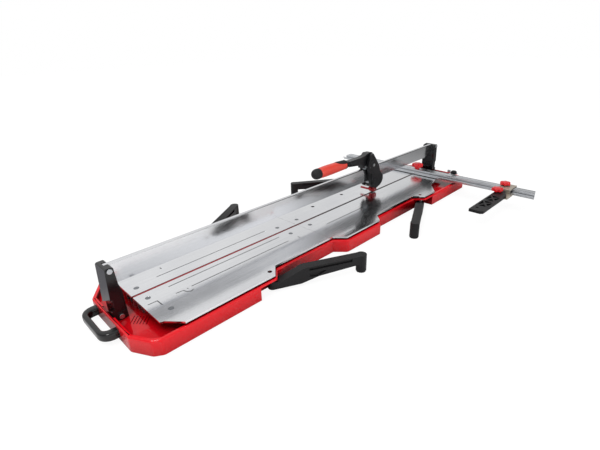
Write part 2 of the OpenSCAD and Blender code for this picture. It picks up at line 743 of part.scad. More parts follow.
module grip_cap() color("black") translate([carriage_x + grip_end, 0, grip_z]) rotate([0, -90, 0])
  difference() {
    union() {
      cylinder(r = grip_r - 1.5, h = cap_length - 9);
      translate([0, 0, cap_length - 9]) rotate_extrude() polygon([[0, 0], [grip_r - 1.5, 0],
        [grip_r - 3, 4], [grip_r - 6.5, 7.5], [grip_r - 11, 9], [0, 9]]);
    }
    translate([0, 0, -past]) cylinder(r = grip_core_r + run, h = cap_length / 2 + past);
  }

module wheel_holder() color("crimson") translate([carriage_x + stem_x, 0, 0]) difference() {
  union() {
    translate([0, holder_side, 0]) rotate([90, 0, 0]) linear_extrude(2 * holder_side) polygon([
      [-holder_half, holder_top], [holder_half, holder_top], [holder_half, wheel_z - 2],
      [holder_foot, holder_low], [-holder_foot, holder_low], [-holder_half, wheel_z - 2]]);
    translate([0, 0, holder_top]) cylinder(r = stem_r, h = stem_top - holder_top);
  }
  translate([0, (wheel_t + 0.6) / 2, wheel_z]) rotate([90, 0, 0])
    cylinder(r = wheel_r + 1, h = wheel_t + 0.6);
  translate([0, holder_side + past, wheel_z]) rotate([90, 0, 0])
    cylinder(r = axle_r + 0.02, h = 2 * (holder_side + past));
  translate([-holder_half - past, 0, lock_z]) rotate([0, 90, 0])
    cylinder(r = 2.5 + run, h = lock_screw + 0.5 + past);
}

module wheel_axle() color("silver") translate([carriage_x + stem_x, 0, wheel_z]) rotate([90, 0, 0])
  cylinder(r = axle_r, h = 2 * holder_side, center = true);

module scoring_wheel() color("silver") translate([carriage_x + stem_x, 0, wheel_z]) rotate([90, 0, 0])
  rotate_extrude() polygon([[axle_r + run, -wheel_t / 2], [wheel_r - 3, -wheel_t / 2],
    [wheel_r, 0], [wheel_r - 3, wheel_t / 2], [axle_r + run, wheel_t / 2]]);

// Red lever that locks the wheel holder, turning on a screw along X
module lock_lever() color("crimson") translate([carriage_x + stem_x - holder_half, 0, 0]) {
  translate([-9, 0, lock_z]) rotate([0, 90, 0]) cylinder(r = 2.5, h = 9 + lock_screw);
  translate([-9, -5, lock_z - 6]) cube([6, 10, 10]);
  translate([-9, 0, lock_z - 6]) cube([6, 42, 5.5]);
}

// Side arms, along +X from the pivot
module arm() difference() {
  union() {
    intersection() {
      linear_extrude(arm_top) union() {
        circle(r = arm_half);
        translate([0, -arm_half]) square([arm_reach, 2 * arm_half]);
      }
      translate([0, arm_half + past, 0]) rotate([90, 0, 0]) linear_extrude(2 * (arm_half + past)) polygon([
        [-arm_half - past, arm_bottom], [arm_belly_l, arm_bottom + 1], [arm_neck_l, 20],
        [arm_reach - 28, 27], [arm_reach, 27], [arm_reach, arm_top], [arm_rise_l, arm_top],
        [arm_root_l, arm_root_top], [-arm_half - past, arm_root_top]]);
    }
    translate([arm_reach, 0, sole_t]) cylinder(r = arm_foot_r, h = arm_top - sole_t);
  }
  translate([0, 0, arm_bottom - past]) cylinder(r = arm_pin_r + run, h = arm_root_top);
  // Hollows in both sides
  for (side = [-1, 1]) translate([0, side * arm_half, 0]) rotate([90, 0, 0]) {
    linear_extrude(9, center = true) translate([arm_rise_l + 14, arm_top - 10.5])
      square([arm_reach - arm_rise_l - 48, 7.5]);
    linear_extrude(9, center = true) polygon([[99, 24], [99, 35], [148, 34], [122, 21]]);
  }
}

module arm_sole() {
  translate([arm_reach, 0, 0]) cylinder(r1 = arm_foot_r - 1.5, r2 = arm_foot_r - 0.5, h = sole_t);
}

module place_arm(side_x, side_y, angle) {
  translate([side_x * arm_x, side_y * arm_y, 0])
    rotate(side_x < 0 ? side_y * angle : 180 - side_y * angle) children();
}

module arm_near_left() color("#333333") place_arm(-1, -1, near_left_angle) arm();
module arm_near_right() color("#333333") place_arm(1, -1, near_right_angle) arm();
module arm_far_left() color("#333333") place_arm(-1, 1, far_left_angle) arm();
module arm_far_right() color("#333333") place_arm(1, 1, far_right_angle) arm();
module arm_sole_near_left() color("black") place_arm(-1, -1, near_left_angle) arm_sole();
module arm_sole_near_right() color("black") place_arm(1, -1, near_right_angle) arm_sole();
module arm_sole_far_left() color("black") place_arm(-1, 1, far_left_angle) arm_sole();
module arm_sole_far_right() color("black") place_arm(1, 1, far_right_angle) arm_sole();

// Fence: section across, X from the pivot and Z from the table
module fence_section() difference() {
  polygon([[-fence_front, fence_z], [fence_back, fence_z], [fence_back, fence_z + fence_base_t],
    [fence_body_back, fence_z + fence_base_t], [fence_body_back, fence_top],
    [-fence_body_front, fence_top], [-fence_body_front, fence_z + fence_base_t],
    [-fence_front, fence_z + fence_base_t]]);
  translate([-fence_body_front + 3, fence_z + 3])
    square([fence_body_front + fence_body_back - 6, fence_h - 6.5]);
  for (x = [-7, fence_body_back - 6]) translate([x, fence_top - 1.5]) square([2.5, 3]);
}

module fence_bar() color("silver") translate([fence_x, 0, 0]) difference() {
  translate([0, fence_far, 0]) rotate([90, 0, 0]) linear_extrude(fence_near + fence_far) fence_section();
  translate([0, 0, fence_z - past]) cylinder(r = stud_r + run, h = fence_h + 2 * past);
  translate([1, -43, fence_z - past]) cylinder(r = 2.5 + bolt_gap, h = fence_h + 2 * past);
  // The near end is cut on a slant
  translate([-fence_front, -fence_near, fence_z - past]) rotate(end_slant) translate([0, -fence_near, 0])
    cube([3 * fence_front, fence_near, fence_h + 2 * past]);
}

module fence_scale() color("gainsboro")
  translate([fence_x - fence_front + 0.5, -fence_near + 4, fence_z + fence_base_t])
  cube([14, fence_near + fence_far + 8, 1]);

module fence_screw() color("#222222") translate([fence_x + 1, -43, 0]) {
  translate([0, 0, fence_z + 0.2]) cylinder(r = 2.5, h = fence_h - 0.2);
  translate([0, 0, fence_top]) cylinder(r = 5, h = 2.6);
}

module clamp_bracket() color("silver") translate([fence_x, clamp_y, fence_top]) difference() {
  union() {
    translate([-fence_body_front, -13, 0]) cube([clamp_x + 9 + fence_body_front, 26, clamp_plate_t]);
    translate([clamp_x + 4, 18, 0]) cube([5, 12, 10]);
    translate([clamp_x + 4, 0, 0]) cube([5, 30, clamp_plate_t]);
  }
  translate([clamp_x, 0, -past]) cylinder(r = 3 + run, h = clamp_plate_t + 2 * past);
}

module clamp_stud() color("silver") translate([fence_x + clamp_x, clamp_y, 0]) {
  translate([0, 0, bed_z - 6]) cylinder(r = 3, h = fence_top + clamp_plate_t + 5 - bed_z + 6);
  translate([0, 0, bed_z - 6]) cylinder(r = 5, h = 4);
}

module clamp_knob() color("#222222")
  translate([fence_x + clamp_x, clamp_y, fence_top + clamp_plate_t + 0.3])
  difference() {
    rotate_extrude() polygon([[0, 0], [clamp_knob_r - 2, 0], [clamp_knob_r, 2], [clamp_knob_r, 5],
      [clamp_knob_r - 2, 8.5], [clamp_knob_r - 6, 10.5], [0, 11]]);
    translate([0, 0, -past]) cylinder(r = 3, h = 5.7);
  }

// Star knob of several lobes on a short hub
module star_knob(r, h, hub_h, bore_r, lobes) difference() {
  union() {
    cylinder(r = r * 0.42, h = hub_h + past);
    translate([0, 0, hub_h]) linear_extrude(h - hub_h) union() {
      circle(r = r * 0.72);
      for (i = [0:lobes - 1]) rotate(360 * i / lobes) translate([r * 0.72, 0]) circle(r = r * 0.28);
    }
  }
  translate([0, 0, -past]) cylinder(r = bore_r, h = h - 4 + past);
}

module fence_knob() color("red") translate([fence_x, 0, fence_top + 0.3])
  star_knob(fence_knob_r, knob_z + knob_h - fence_top - 0.3, knob_z - fence_top + 4, stud_r + run, 6);

// Stop bracket: a saddle over the fence and a tongue under the stop bar
module stop_bracket() color("tan") translate([fence_x, 0, 0]) difference() {
  union() {
    translate([-saddle_front, stop_y - bracket_l / 2, saddle_low])
      cube([saddle_front + saddle_back, bracket_l, saddle_top - saddle_low]);
    translate([stop_pivot_x - tongue_l, stop_pivot_y + bar_far - stop_bar_w - 7, saddle_low])
      cube([-saddle_front - stop_pivot_x + tongue_l + past, stop_bar_w + 7, bracket_t]);
    translate([stop_pivot_x - tongue_l, stop_pivot_y + bar_far - stop_bar_w - 7, saddle_low])
      cube([tongue_l, bracket_t, 9]);
  }
  translate([-fence_front - 0.3, stop_y - bracket_l, saddle_low - past])
    cube([fence_front + fence_back + 0.6, 2 * bracket_l, fence_top + 0.3 - saddle_low + past]);
  translate([stop_pivot_x, stop_pivot_y, saddle_low - past])
    cylinder(r = stop_stud_r + run, h = bracket_t + 2 * past);
  translate([fence_slot_x, stop_pivot_y, fence_top])
    cylinder(r = stop_stud_r + run, h = bracket_t + 2 * past);
}

module stop_studs() color("silver") translate([fence_x, 0, 0]) {
  translate([stop_pivot_x, stop_pivot_y, saddle_low])
    cylinder(r = stop_stud_r, h = bar_top + 0.3 + bar_knob_h - 5 - saddle_low);
  translate([fence_slot_x, stop_pivot_y, fence_top + 0.1])
    cylinder(r = stop_stud_r, h = saddle_top + bracket_knob_h - 5 - fence_top);
}

// Stop bar: outline from its pivot, along -X
module stop_bar() color("#222222") translate([fence_x + stop_pivot_x, stop_pivot_y, bar_low]) difference() {
  linear_extrude(stop_bar_t) polygon([[bar_end, bar_far], [-stop_bar_l, bar_far],
    [-stop_bar_l, bar_far - stop_bar_w + 8], [-stop_bar_l + 8, bar_far - stop_bar_w],
    [-20, bar_far - stop_bar_w], [bar_end, bar_far - stop_bar_w * 0.6]]);
  translate([0, 0, -past]) cylinder(r = stop_stud_r + run, h = stop_bar_t + 2 * past);
  translate([-stop_bar_l + 28, bar_far - 16, -past]) cylinder(r = 5, h = stop_bar_t + 2 * past);
  // Pockets round the crossed ribs
  for (i = [0, 1], turn = [0:3])
    translate([-stop_bar_l + 76 + 66 * i, bar_far - stop_bar_w / 2, stop_bar_t - 4])
    linear_extrude(4 + past) rotate(90 * turn) rib_pocket(turn % 2 == 0 ? 28 : stop_bar_w / 2 - 6,
      turn % 2 == 0 ? stop_bar_w / 2 - 6 : 28);
}

// Triangle between two crossed ribs, pointing at their crossing
module rib_pocket(reach, spread) {
  polygon([[reach * 0.22, 0], [reach, spread * 0.78], [reach, -spread * 0.78]]);
}

module bar_knob() color("red") translate([fence_x + stop_pivot_x, stop_pivot_y, bar_top + 0.3])
  star_knob(stop_knob_r, bar_knob_h, 1, stop_stud_r + run, 6);

module bracket_knob() color("red") translate([fence_x + fence_slot_x, stop_pivot_y, saddle_top + 0.3])
  rotate(20) star_knob(stop_knob_r, bracket_knob_h, 1, stop_stud_r + run, 6);

base_tray();
rubber_feet();
plate_near_left();
plate_near_right();
plate_far_left();
plate_far_right();
support_rails();
plate_cushions();
breaker_ridge();
plate_screws();
tower_left();
tower_right();
tower_bolts();
guide_beam();
carry_handle();
handle_screws();
arm_pivot_pins();
fence_pivot_stud();
carriage_body();
roller_axles();
lever_pivot_pin();
roller_top_left();
roller_top_right();
roller_bottom_left();
roller_bottom_right();
lever_arm();
lever_grip();
grip_cap();
thumb_rest();
wheel_holder();
wheel_axle();
scoring_wheel();
lock_lever();
arm_near_left();
arm_near_right();
arm_far_left();
arm_far_right();
arm_sole_near_left();
arm_sole_near_right();
arm_sole_far_left();
arm_sole_far_right();
fence_bar();
fence_scale();
fence_screw();
clamp_bracket();
fence_knob();
clamp_knob();
clamp_stud();
stop_bracket();
stop_studs();
stop_bar();
bracket_knob();
bar_knob();
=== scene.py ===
# %% [markdown]
# A long tile cutter, dressed for the camera.
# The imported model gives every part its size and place, so this lesson adds what a working model leaves out:
# rounded edges, moulded shapes and real finishes. Blender counts in metres. Shapes are worked out in
# millimetres, as on a workshop drawing, and scaled by MM. X runs along the scoring line from the carry
# handle to the fence, -Y is the near side, and Z is up.

# %% Load the fixed frame
import json
from math import radians

import bmesh
import bpy
import numpy as np
from mathutils import Matrix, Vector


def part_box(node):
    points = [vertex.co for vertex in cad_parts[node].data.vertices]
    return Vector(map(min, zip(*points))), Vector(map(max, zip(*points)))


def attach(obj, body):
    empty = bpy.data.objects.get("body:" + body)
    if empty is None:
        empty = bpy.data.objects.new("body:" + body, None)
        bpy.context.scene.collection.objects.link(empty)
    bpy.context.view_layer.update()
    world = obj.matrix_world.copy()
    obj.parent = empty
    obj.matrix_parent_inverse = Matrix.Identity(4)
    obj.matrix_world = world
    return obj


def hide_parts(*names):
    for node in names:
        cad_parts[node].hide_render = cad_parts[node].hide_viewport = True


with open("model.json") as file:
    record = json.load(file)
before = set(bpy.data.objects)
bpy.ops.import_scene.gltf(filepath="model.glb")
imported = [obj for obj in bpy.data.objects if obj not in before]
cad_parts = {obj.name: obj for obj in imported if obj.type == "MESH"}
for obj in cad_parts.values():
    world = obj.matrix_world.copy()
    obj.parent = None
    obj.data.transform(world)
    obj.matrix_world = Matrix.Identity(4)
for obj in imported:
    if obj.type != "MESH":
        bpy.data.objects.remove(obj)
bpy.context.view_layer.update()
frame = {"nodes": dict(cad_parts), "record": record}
nodes = frame["nodes"]
record = frame["record"]
body_of = {name: body for body, names in record["behaviour"]["bodies"].items() for name in names}
slot_of = {part["node"]: part["material_slot"] for part in record["subparts"]}
MM = 0.001

# %% [markdown]
# Two small tools serve every finish. A colour picked on a screen is an sRGB hex value, and the renderer
# works in linear light, so one tool turns the first into the second. The other adds a shader node, sets it
# and links it in one line.

# %% Colour and node tools
def linear(hex_colour):
    """sRGB to linear: c / 12.92 in the darkest tones, else ((c + 0.055) / 1.055) to the power 2.4."""
    c = np.array([int(hex_colour[i:i + 2], 16) for i in (1, 3, 5)]) / 255
    return (*np.where(c <= 0.04045, c / 12.92, ((c + 0.055) / 1.055) ** 2.4), 1.0)


def add(tree, kind, sockets=None, **settings):
    """Adds a node, sets its properties, and gives each named input a value or another node's output."""
    node = tree.nodes.new(kind)
    for key, value in settings.items():
        setattr(node, key, value)
    for key, value in (sockets or {}).items():
        if isinstance(value, bpy.types.NodeSocket):
            tree.links.new(value, node.inputs[key])
        else:
            node.inputs[key].default_value = value
    return node


print("middle grey", [round(c, 3) for c in linear("#808080")[:3]])

# %% [markdown]
# A finish is a Principled surface whose colour, roughness and bump are each broken up a little, because no
# real surface is even. Images could do that, but then every part would need a UV map, so the recipe reads
# noise in Object coordinates instead. Fine grain gives the bump, and grain and slow clouds together shift
# the colour and the gloss. The grain is stretched along metal that was brushed or extruded. Grooves and
# corners get less light, and a finish paints that shade into its colour: it darkens where neighbouring faces
# are near.

# %% The recipe for a finish
def finish(name, colours, gloss, grain, clouds=0.09, stretch=(1, 1, 1), bump=0.1, reach=0.006, painted_shade_depth=0.6,
        clear=0.8, **shader):
    """Colour and roughness run from their first to their second value with the sum of two noises, one of
    size clouds and one of size grain, both in metres. The fine one is multiplied along X, Y and Z by stretch
    and gives the bump too. Where faces closer than reach shut out the light, painted shade darkens the colour
    to as little as 1 less the given depth of shade, and the colour is whole where a share clear of the sky is
    open. What is left over is set on the shader's own sockets."""
    # Two noises of mean 0.5 add up to about this range, and below this share of open sky the painted shade is
    # full.
    noise_low, noise_high, shut = 0.75, 1.25, 0.25
    made = bpy.data.materials.new(name)
    made.use_nodes = True
    tree = made.node_tree
    tree.nodes.clear()
    place = add(tree, "ShaderNodeTexCoord").outputs["Object"]
    drawn = add(tree, "ShaderNodeMapping", {"Vector": place, "Scale": stretch}).outputs["Vector"]
    slow = add(tree, "ShaderNodeTexNoise", {"Vector": place, "Scale": 1 / clouds, "Detail": 3.0})
    fine = add(tree, "ShaderNodeTexNoise", {"Vector": drawn, "Scale": 1 / grain, "Detail": 4.0})
    both = add(tree, "ShaderNodeMath", {0: slow.outputs["Fac"], 1: fine.outputs["Fac"]}, operation="ADD")
    share = add(tree, "ShaderNodeMapRange", {"Value": both.outputs[0], "From Min": noise_low,
        "From Max": noise_high})
    colour = add(tree, "ShaderNodeMix", {0: share.outputs[0], 6: linear(colours[0]), 7: linear(colours[1])},
        data_type="RGBA")
    # Painted shade: ambient occlusion darkens the colour in grooves, in corners and under nearby faces.
    open_sky = add(tree, "ShaderNodeAmbientOcclusion", {"Distance": reach}, samples=8)
    painted_shade_factor = add(tree, "ShaderNodeMapRange", {"Value": open_sky.outputs["AO"], "From Min": shut,
        "From Max": clear, "To Min": 1 - painted_shade_depth, "To Max": 1.0})
    shaded = add(tree, "ShaderNodeVectorMath", {0: colour.outputs[2], "Scale": painted_shade_factor.outputs[0]},
        operation="SCALE")
    rough = add(tree, "ShaderNodeMapRange", {"Value": share.outputs[0], "To Min": gloss[0],
        "To Max": gloss[1]})
    relief = add(tree, "ShaderNodeBump", {"Height": fine.outputs["Fac"], "Strength": bump,
        "Distance": grain})
    surface = add(tree, "ShaderNodeBsdfPrincipled", {"Base Color": shaded.outputs[0],
        "Roughness": rough.outputs[0], "Normal": relief.outputs["Normal"]})
    for key, value in shader.items():
        surface.inputs[key.replace("_", " ")].default_value = value
    add(tree, "ShaderNodeOutputMaterial", {"Surface": surface.outputs["BSDF"]})
    print(f"{name}: roughness {gloss[0]} to {gloss[1]}, grain {grain / MM:.1f} mm")
    return made


# %% [markdown]
# The tray is pressed steel with a glossy polyester powder coat. Powder melts into a film with a faint
# orange peel of about 1 mm, which makes highlights waver a little; it is drawn at 6 mm, since anything
# finer is lost at this distance. The tray is deep, so its painted shade reaches 80 mm from wall to floor.

# %% Powder-coated red steel
powder_red = finish("Powder-coated red steel", ("#dd0a18", "#e4121f"), (0.05, 0.1), grain=6 * MM, bump=0.012,
    reach=0.08, painted_shade_depth=0.75, clear=0.82, IOR=1.5, Specular_IOR_Level=0.33)

# %% [markdown]
# The ridge along the cutting line is painted red too, and tiles are snapped over it every day. Its colour
# carries painted shade along X: red over the left half of the bed, and right of the middle only a dark grey.

# %% Painted shade along the ridge
ridge_red = finish("Red ridge paint with painted shade", ("#8f1b23", "#9c2830"), (0.3, 0.45), grain=2 * MM, IOR=1.5)
shade_starts, shade_full = -0.4, 0.05
shaded_ridge_colour = linear("#2e2627")
tree = ridge_red.node_tree
surface = tree.nodes["Principled BSDF"]
painted = surface.inputs["Base Color"].links[0].from_socket
along = add(tree, "ShaderNodeSeparateXYZ", {"Vector": add(tree, "ShaderNodeTexCoord").outputs["Object"]})
# Painted shade: the ridge's colour turns from red to dark grey toward the right end.
shade_share = add(tree, "ShaderNodeMapRange", {"Value": along.outputs["X"], "From Min": shade_starts,
    "From Max": shade_full}, interpolation_type="SMOOTHSTEP")
ridge_shading = add(tree, "ShaderNodeMix", {0: shade_share.outputs[0], 6: painted, 7: shaded_ridge_colour}, data_type="RGBA")
tree.links.new(ridge_shading.outputs[2], surface.inputs["Base Color"])
print(f"painted shade deepens between x = {shade_starts} m and {shade_full} m")

# %% [markdown]
# Bed plates are rolled aluminium, polished along the cutter and clear anodised, so they mirror the room as
# long soft streaks. The brushing is a few hundredths of a millimetre apart; it is drawn as streaks 2 mm
# apart and some 200 mm long. The beam is a bright extrusion, so it mirrors the bed. The fence was blasted
# before it was anodised, which turns its shine to satin.

# %% Aluminium
# The bed's grooves take deep painted shade into their colour.
bed_alu = finish("Brushed aluminium bed", ("#dcdde0", "#e8e9eb"), (0.1, 0.2), grain=2 * MM, clouds=0.16,
    stretch=(0.01, 1, 1), bump=0.012, reach=0.009, painted_shade_depth=0.92, Metallic=1.0)
beam_alu = finish("Polished aluminium beam", ("#d8d9dc", "#e2e3e5"), (0.1, 0.18), grain=3 * MM, clouds=0.2,
    stretch=(0.01, 1, 1), bump=0.012, Metallic=1.0)
fence_alu = finish("Satin aluminium fence", ("#cccfd3", "#dfe1e4"), (0.26, 0.36), grain=2 * MM,
    stretch=(1, 0.01, 1), bump=0.05, Metallic=1.0)

# %% [markdown]
# Steel parts differ by their plating. Fresh zinc is a bright grey and old zinc a dull one, black oxide
# keeps a thin oily sheen, a galvanised channel is cloudy, and the scoring wheel is ground carbide. The
# clamp bracket is cast zinc, which is warmer in tone than any of them.

# %% Steels and castings
zinc = finish("Zinc-plated steel", ("#b4b8bc", "#cfd2d5"), (0.22, 0.34), grain=1.5 * MM, Metallic=1.0)
dull_zinc = finish("Dull zinc countersunk screws", ("#7d8084", "#919498"), (0.35, 0.5), grain=1.5 * MM,
    Metallic=1.0)
rail_steel = finish("Galvanised steel channel", ("#8f9499", "#a9adb1"), (0.35, 0.5), grain=8 * MM,
    Metallic=1.0)
black_oxide = finish("Black oxide steel", ("#2a2b2d", "#3a3b3e"), (0.3, 0.42), grain=1.5 * MM, Metallic=0.7)
carbide = finish("Ground tungsten carbide", ("#8c8f94", "#a4a7ab"), (0.15, 0.25), grain=1 * MM, Metallic=1.0)
cast_zinc = finish("Cast zinc bracket", ("#b3a898", "#c4bbae"), (0.3, 0.42), grain=2 * MM, Metallic=0.6)

# %% [markdown]
# Black parts are of three kinds. The towers are cast aluminium under glossy black powder and the carry
# handle is a polished moulding, so both mirror the studio. The arms and the carriage are glass-filled nylon
# from moulds that were spark-eroded to a fine leathery texture, which spreads a highlight into a haze.
# Rubber under the hand hardly shines.

# %% Black finishes
casting = finish("Black powder-coated casting", ("#0b0b0d", "#131315"), (0.1, 0.2), grain=1.5 * MM, bump=0.05,
    IOR=1.5, Specular_IOR_Level=0.45)
handle_black = finish("Glossy moulded black handle", ("#070708", "#0d0d0f"), (0.1, 0.18), grain=1.2 * MM,
    bump=0.03, IOR=1.5, Specular_IOR_Level=0.5)
nylon = finish("Moulded black nylon", ("#141415", "#1b1a1c"), (0.34, 0.46), grain=1 * MM, bump=0.15, IOR=1.5,
    Specular_IOR_Level=0.22)
body_black = finish("Moulded black carriage nylon", ("#0e0e10", "#161619"), (0.22, 0.34), grain=1 * MM,
    bump=0.1, IOR=1.5, Specular_IOR_Level=0.4)
rubber = finish("Soft black rubber", ("#141415", "#1d1d1f"), (0.5, 0.65), grain=0.8 * MM, bump=0.2, IOR=1.5,
    Specular_IOR_Level=0.35)

# %% [markdown]
# Red parts on the carriage and the knobs: a soft-touch elastomer moulded over the grip, with a broad dim
# shine, glossy moulded nylon on the knobs, and anodised aluminium on the wheel holder, whose dye leaves
# metal showing.

# %% Red finishes
grip_red = finish("Soft-touch red elastomer", ("#d63c30", "#e04a3c"), (0.24, 0.34), grain=1 * MM, bump=0.12,
    IOR=1.5)
knob_red = finish("Glossy red nylon", ("#d2141d", "#de1f27"), (0.15, 0.25), grain=1.5 * MM, bump=0.03,
    IOR=1.5)
anodised_red = finish("Red anodised aluminium", ("#a02a30", "#b5343a"), (0.25, 0.35), grain=1.5 * MM,
    Metallic=0.9)

# %% [markdown]
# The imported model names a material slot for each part. One table joins slots to finishes, so a new part
# only has to name its slot. The bed's screws share the bolts' slot, but they are older, so they get the
# dull zinc.

# %% Give every part its finish
finish_of = {"red_tray": powder_red, "bed_aluminium": bed_alu, "beam_aluminium": beam_alu,
    "fence_aluminium": fence_alu, "rail_steel": rail_steel, "bolt_steel": zinc, "dark_steel": black_oxide,
    "ridge_red": ridge_red, "black_casting": casting, "black_plastic": nylon, "carriage_black": body_black,
    "soft_black": rubber, "grip_red": grip_red, "knob_red": knob_red, "holder_red": anodised_red,
    "carbide": carbide, "bracket_metal": cast_zinc}
for name, part in nodes.items():
    part.material_slots[0].material = finish_of[slot_of[name]]
nodes["plate_screws"].material_slots[0].material = dull_zinc
print(len(finish_of), "slots filled on", len(nodes), "parts")

# %% [markdown]
# Nothing made in a press or a mould has a knife edge. Where a part's shape is already right, a copy of it
# has its loose triangles joined and flattened into whole faces, and every crease gets a small round of the
# size that its process leaves. That round is what catches the light along each edge.

# %% Round the creases of a part
CREASE = radians(30)


def settle(piece, name):
    """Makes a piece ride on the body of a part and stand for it."""
    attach(piece, body_of[name])
    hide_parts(name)
    return piece


def softened(name, width, segments=3):
    """A copy of a part with its creases rounded to the given width, in millimetres. The normals that the
    loose triangles stored are dropped, since they don't fit the joined faces."""
    mesh = nodes[name].data.copy()
    piece = bpy.data.objects.new(f"{name}_edges", mesh)
    bpy.context.scene.collection.objects.link(piece)
    work = bmesh.new()
    work.from_mesh(mesh)
    bmesh.ops.remove_doubles(work, verts=work.verts, dist=0.01 * MM)
    bmesh.ops.dissolve_limit(work, angle_limit=radians(1), verts=work.verts, edges=work.edges)
    work.to_mesh(mesh)
    work.free()
    if "custom_normal" in mesh.attributes:
        mesh.attributes.remove(mesh.attributes["custom_normal"])
    mesh.polygons.foreach_set("use_smooth", np.ones(len(mesh.polygons), bool))
    mesh.set_sharp_from_angle(angle=CREASE)
    round_off = piece.modifiers.new("Rounded creases", "BEVEL")
    round_off.width = width * MM
    round_off.segments = segments
    round_off.limit_method = "ANGLE"
    round_off.angle_limit = CREASE
    round_off.harden_normals = True
    return settle(piece, name)


stations = ("near_left", "near_right", "far_left", "far_right")
creases = {"tower_left": 1.6, "tower_right": 1.6, "guide_beam": 0.6, "carriage_body": 1.5,
    "lever_arm": 1.5, "wheel_holder": 0.8, "lock_lever": 1.0, "stop_bracket": 0.8, "stop_bar": 1.2,
    "clamp_bracket": 0.6, "fence_bar": 0.5, "tower_bolts": 0.5}
creases.update({f"plate_{station}": 0.4 for station in stations})
creases.update({f"arm_{station}": 2.5 for station in stations})
for name, width in creases.items():
    piece = softened(name, width)
    print(f"{piece.name}: {len(piece.data.polygons)} faces, rounds of {width} mm")

# %% [markdown]
# The tray's outer edge is not just broken but rolled: the sheet turns over a radius of 4.5 mm all round the
# rim, and that roll carries one long highlight. A Bevel modifier can pick its edges by angle, as above, but
# that would round the whole inside of the tray as well. It can also read a weight from each edge, so the
# rim's outer edge gets 1 and every other edge 0.

# %% Roll the tray's rim
def rolled_rim(name, roll):
    """A copy of the tray whose outer top edges have a round of the size roll, in millimetres. Such an edge
    lies at the rim's height, between a level face and an upright one that looks away from the middle."""
    piece = softened(name, roll, segments=5)
    round_off = piece.modifiers[0]
    round_off.limit_method = "WEIGHT"
    round_off.use_clamp_overlap = False
    round_off.harden_normals = False
    flatten = piece.modifiers.new("Flat faces stay flat", "WEIGHTED_NORMAL")
    flatten.keep_sharp = True
    work = bmesh.new()
    work.from_mesh(piece.data)
    bmesh.ops.triangulate(work, faces=[face for face in work.faces if len(face.verts) > 4])
    weights = work.edges.layers.float
    weight = weights.get("bevel_weight_edge") or weights.new("bevel_weight_edge")
    rim_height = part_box(name)[1].z - 0.1 * MM
    least_level, least_outward = 0.9, 0.01
    for edge in work.edges:
        if len(edge.link_faces) != 2 or edge.calc_face_angle(0) < CREASE:
            continue
        middle = (edge.verts[0].co + edge.verts[1].co) / 2
        outward = max(face.normal.x * middle.x + face.normal.y * middle.y for face in edge.link_faces)
        level = max(face.normal.z for face in edge.link_faces)
        on_rim = middle.z > rim_height and level > least_level and outward > least_outward
        edge[weight] = 1.0 if on_rim else 0.0
    print(piece.name, sum(edge[weight] > 0 for edge in work.edges), "of", len(work.edges), "edges rolled")
    work.to_mesh(piece.data)
    work.free()


rolled_rim("base_tray", 4.5)

# %% [markdown]
# Hand parts are moulded to no flat faces at all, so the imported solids, which are plain turned or cut
# shapes, are replaced. They could be sculpted, but a formula is easier to change. Each is a grid of rings:
# one number runs along the part and one runs round it, the whole grid is computed at once, and one helper
# puts a skin over it. Where a value stays the same round a ring, adding 0 * turn spreads it over the ring's
# points.

# %% A skin over rings of points
def skin(name, rings, stands_for, loop=False):
    """A closed surface through rings, an array of shape (rings, points round, 3) in millimetres. When loop is
    true the last ring joins the first. Otherwise a flat face shuts each end, unless its ring is one point."""
    soft_below = radians(40)
    count, around = rings.shape[:2]
    spots = np.arange(count * around).reshape(count, around)
    low, high = (spots, np.roll(spots, -1, axis=0)) if loop else (spots[:-1], spots[1:])
    quads = np.stack([low, np.roll(low, -1, axis=1), np.roll(high, -1, axis=1), high], axis=-1)
    ends = [] if loop else [spots[0][::-1].tolist(), spots[-1].tolist()]
    mesh = bpy.data.meshes.new(name)
    mesh.from_pydata((rings.reshape(-1, 3) * MM).tolist(), [], quads.reshape(-1, 4).tolist() + ends)
    work = bmesh.new()
    work.from_mesh(mesh)
    bmesh.ops.remove_doubles(work, verts=work.verts, dist=0.001 * MM)
    bmesh.ops.recalc_face_normals(work, faces=work.faces)
    work.to_mesh(mesh)
    work.free()
    mesh.polygons.foreach_set("use_smooth", np.ones(len(mesh.polygons), bool))
    mesh.set_sharp_from_angle(angle=soft_below)
    piece = bpy.data.objects.new(name, mesh)
    bpy.context.scene.collection.objects.link(piece)
    mesh.materials.append(finish_of[slot_of[stands_for]])
    print(name, [round(size / MM, 1) for size in piece.dimensions], "mm")
    return settle(piece, stands_for)


def extent(name):
    """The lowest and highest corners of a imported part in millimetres."""
    return tuple(np.array(corner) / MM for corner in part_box(name))


turn = np.linspace(0, 2 * np.pi, 72, endpoint=False)
print("a ring has", turn.size, "points")

# %% [markdown]
# The red grip is elastomer over a steel core. It is fullest where the palm lies and thins toward the lever,
# and its axis bows up a little. Both ends turn in over a small round, which leaves the dark seams against
# its neighbours.

# %% Grip on the lever
GRIP_OVAL, GRIP_BOW, GRIP_END = 0.97, 0.6, 0.025
core_radius = 8.05


def grip_radius(u):
    """Outer radius in millimetres, u from 0 at the cap to 1 at the lever: a plain radius, plus a swell that
    follows a half wave of sine and peaks nearer the cap, less a taper with the square of u, and less a
    quarter round over the share GRIP_END at each end."""
    plain, swell, taper, end_round = 16.8, 1.6, 1.2, 2.5
    low_end = np.clip(1 - u / GRIP_END, 0, 1)
    high_end = np.clip(1 - (1 - u) / GRIP_END, 0, 1)
    turned_in = 1 - np.sqrt(1 - np.maximum(low_end, high_end) ** 2)
    return plain + swell * np.sin(np.pi * u ** 0.7) - taper * u ** 2 - end_round * turned_in


